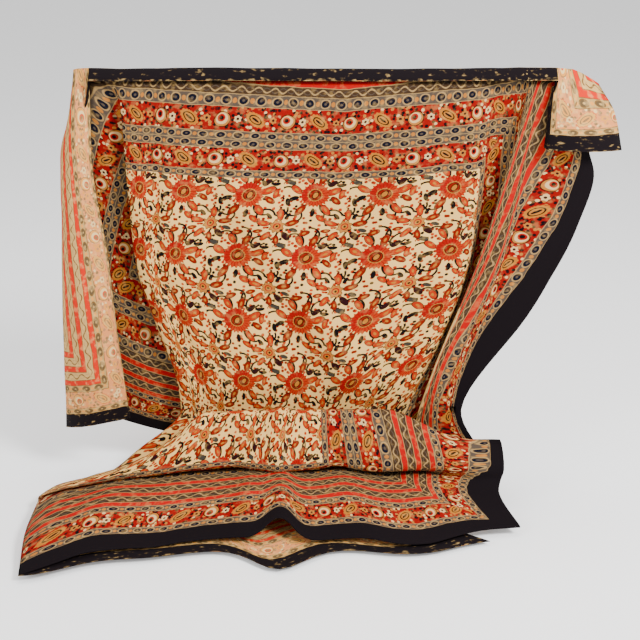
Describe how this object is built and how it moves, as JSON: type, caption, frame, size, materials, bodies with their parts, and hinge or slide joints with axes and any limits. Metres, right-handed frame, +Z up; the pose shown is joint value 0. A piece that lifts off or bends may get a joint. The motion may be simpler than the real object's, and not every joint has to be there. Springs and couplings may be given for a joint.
{
  "type": "draped printed cotton cover",
  "caption": "Square block-printed cotton cover hung by its turned-over top edge, with folded ears at the sides and its foot gathered on the floor.",
  "frame": {"origin": "middle of the hanging edge, where the cloth lies over whatever holds it up", "axes": "+Z up, +X to the viewer's right along the hanging edge, the printed face towards -Y"},
  "size_m": [1.5164, 0.6314, 1.1206],
  "materials": {
    "cloth": "matte printed cotton"
  },
  "bodies": {
    "root": {"cloth": "cloth"}
  },
  "joints": []
}
